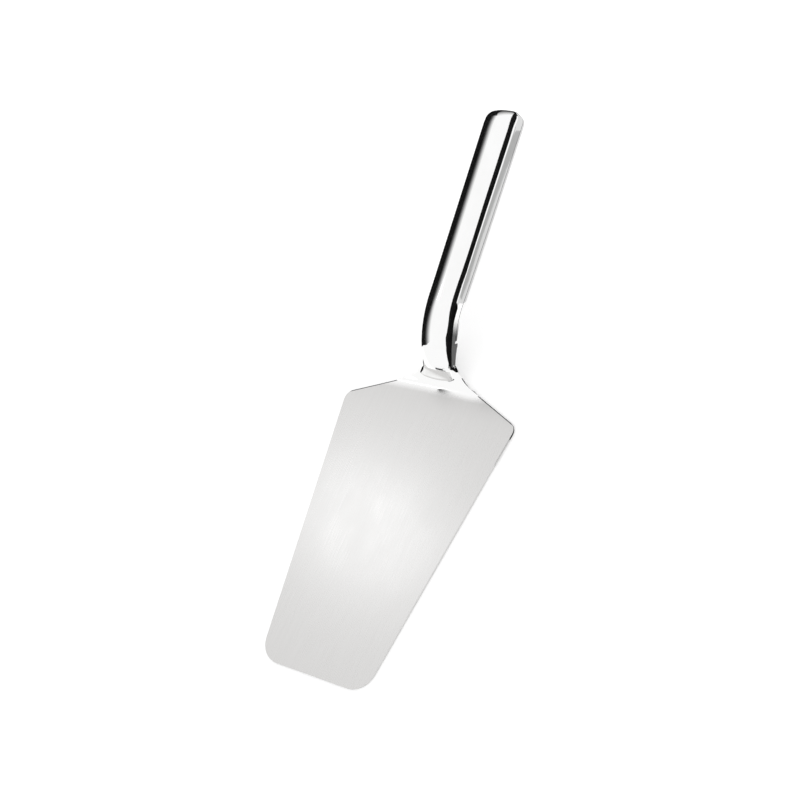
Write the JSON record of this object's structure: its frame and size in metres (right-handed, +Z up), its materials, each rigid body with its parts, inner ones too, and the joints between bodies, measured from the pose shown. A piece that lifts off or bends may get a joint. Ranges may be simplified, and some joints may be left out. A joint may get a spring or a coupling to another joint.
{
  "type": "flan server",
  "caption": "Flat tapered serving blade with rounded corners and sloping shoulders, pressed up at the back into a short neck that carries a low, raised hollow handle.",
  "frame": {"origin": "centre of the bounding box at the level of the blade's underside, which is the surface it lies on", "axes": "+X towards the blade's front edge, along the middle plane; +Y to the side; +Z up, square to the flat blade"},
  "size_m": [0.2737, 0.0942, 0.0456],
  "materials": {
    "satin_steel": "satin stainless steel sheet, 1.2 mm",
    "polished_steel": "mirror-polished stainless steel, no plating",
    "polished_underside": "mirror-polished stainless steel, no plating"
  },
  "bodies": {
    "root": {"blade": "satin_steel", "handle_upper_shell": "polished_steel", "handle_lower_shell": "polished_underside"}
  },
  "joints": []
}
